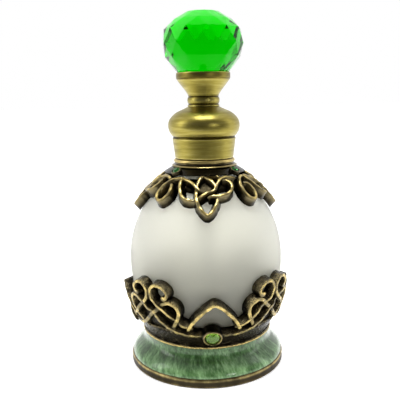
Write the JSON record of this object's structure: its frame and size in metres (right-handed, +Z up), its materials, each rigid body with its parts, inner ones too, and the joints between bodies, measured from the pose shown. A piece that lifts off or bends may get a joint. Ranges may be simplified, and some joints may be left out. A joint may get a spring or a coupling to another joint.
{
  "type": "perfume atomiser",
  "caption": "Frosted glass scent bottle in an enamelled foot and filigree cradle, with a fine-mist pump under a lift-off brass cap and a cut-glass knob.",
  "frame": {"origin": "centre of the foot's flat rim, on the surface that the bottle stands on", "axes": "+Z up along the bottle's axis; -Y towards the front arch, +X to the right seen from the front"},
  "size_m": [0.0528, 0.0528, 0.1082],
  "materials": {
    "foot_bronze": "brushed, antiqued",
    "green_enamel": "glossy enamel with brushed streaks",
    "antique_bronze": "blackened, with polished golden edges",
    "setting_brass": "polished",
    "peridot_glass": "cut, foil backed",
    "frosted_glass": "acid-frosted",
    "emerald_glass": "cut, foil backed",
    "closure_metal": "gold anodised",
    "seal_plastic": "soft moulded polyethylene",
    "pump_plastic": "moulded polypropylene",
    "tube_plastic": "clear extruded polyethylene",
    "steel": "bright stainless",
    "aged_brass": "brushed antique brass",
    "liner_plastic": "moulded polyethylene",
    "screw_brass": "bright turned",
    "green_crystal": "cut and polished"
  },
  "bodies": {
    "bottle": {"foot_casting": "foot_bronze", "foot_enamel": "green_enamel", "cradle_bowl": "antique_bronze", "cradle_arches": "antique_bronze", "cradle_scrolls": "antique_bronze", "cradle_settings": "setting_brass", "cradle_stones": "peridot_glass", "glass_bottle": "frosted_glass", "collar_ring": "antique_bronze", "collar_knots": "antique_bronze", "collar_petals": "antique_bronze", "collar_cups": "setting_brass", "collar_stones": "emerald_glass"},
    "pump": {"pump_housing": "pump_plastic", "housing_cap": "pump_plastic", "neck_gasket": "seal_plastic", "dip_tube": "tube_plastic", "pump_spring": "steel"},
    "closure": {"pump_closure": "closure_metal"},
    "ball": {"inlet_ball": "steel"},
    "plunger": {"piston": "seal_plastic", "stem": "pump_plastic"},
    "spray_head": {"actuator": "closure_metal", "nozzle_insert": "pump_plastic"},
    "cap": {"cap_shell": "aged_brass", "cap_liner": "liner_plastic", "spool_bead": "aged_brass", "crystal_cup": "aged_brass", "finial_screw": "screw_brass", "crystal_knob": "green_crystal"}
  },
  "joints": [
    {"name": "pump_lift", "type": "slide", "parent": "bottle", "child": "pump", "axis": [0, 0, 1], "range_m": [0, 0.06]},
    {"name": "closure_turn", "type": "hinge", "parent": "pump", "child": "closure", "pos_m": [0, 0, 0.065], "axis": [0, 0, 1], "continuous": true},
    {"name": "cap_lift", "type": "slide", "parent": "closure", "child": "cap", "axis": [0, 0, 1], "range_m": [0, 0.03]},
    {"name": "actuator_press", "type": "slide", "parent": "pump", "child": "plunger", "axis": [0, 0, -1], "range_m": [0, 0.0034], "stiffness_N_per_m": 1200, "springref_m": -0.003, "deforming": ["pump_spring"]},
    {"name": "head_turn", "type": "hinge", "parent": "plunger", "child": "spray_head", "pos_m": [0, 0, 0.0755], "axis": [0, 0, 1], "continuous": true},
    {"name": "ball_lift", "type": "slide", "parent": "pump", "child": "ball", "axis": [0, 0, 1], "range_m": [0, 0.0008]}
  ]
}
